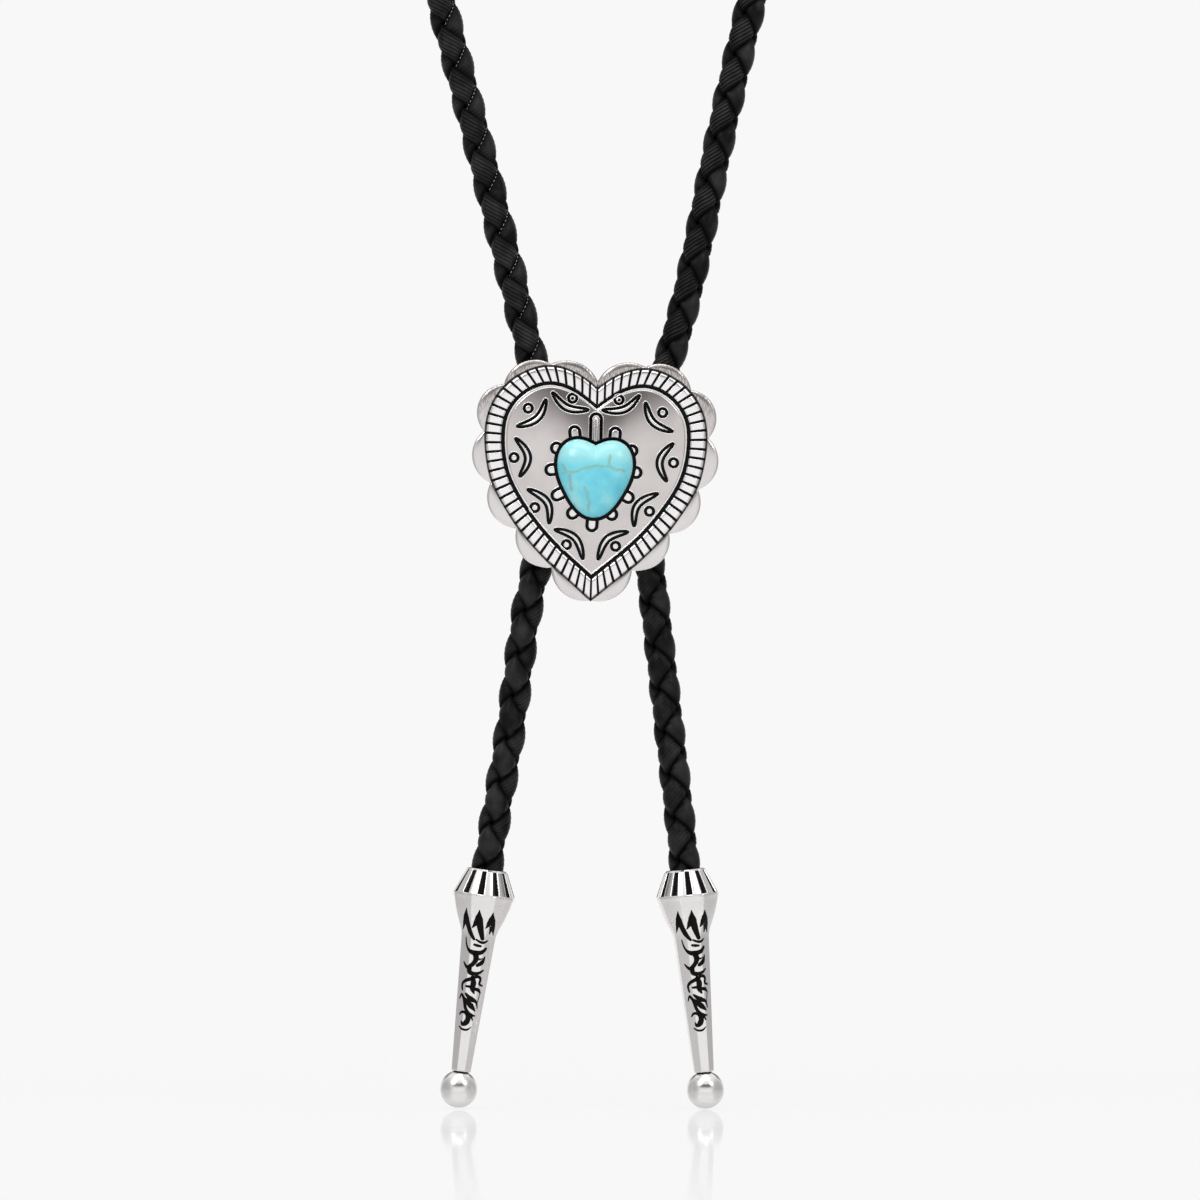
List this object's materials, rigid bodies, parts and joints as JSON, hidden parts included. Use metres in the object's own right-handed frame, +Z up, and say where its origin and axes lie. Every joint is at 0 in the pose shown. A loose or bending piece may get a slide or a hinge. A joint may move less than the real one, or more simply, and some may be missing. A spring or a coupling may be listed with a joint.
{
  "type": "bolo tie",
  "caption": "Heart-shaped cast slide with scalloped border and turquoise heart on a braided leather cord with two cast metal tips, as worn.",
  "frame": {"origin": "where the inner side of the cord rests on the middle of the nape, as a neck wears it", "axes": "+Z up, the slide's front faces -Y, +X to the viewer's right when the slide is seen from the front"},
  "size_m": [0.1325, 0.1369, 0.4202],
  "materials": {
    "silver": "antique silver plate on cast zinc alloy, polished, with black enamel in the recesses",
    "turquoise": "polished turquoise cabochon with fine tan veins",
    "clip_steel": "plain nickel-plated",
    "leather": "black four-strand round braid, satin"
  },
  "bodies": {
    "root": {"slide_plate": "silver", "stone": "turquoise", "back_clip": "clip_steel", "cord_neck_loop": "leather", "cord_tail_left": "leather", "cord_tail_right": "leather", "tip_left": "silver", "tip_right": "silver"}
  },
  "joints": []
}
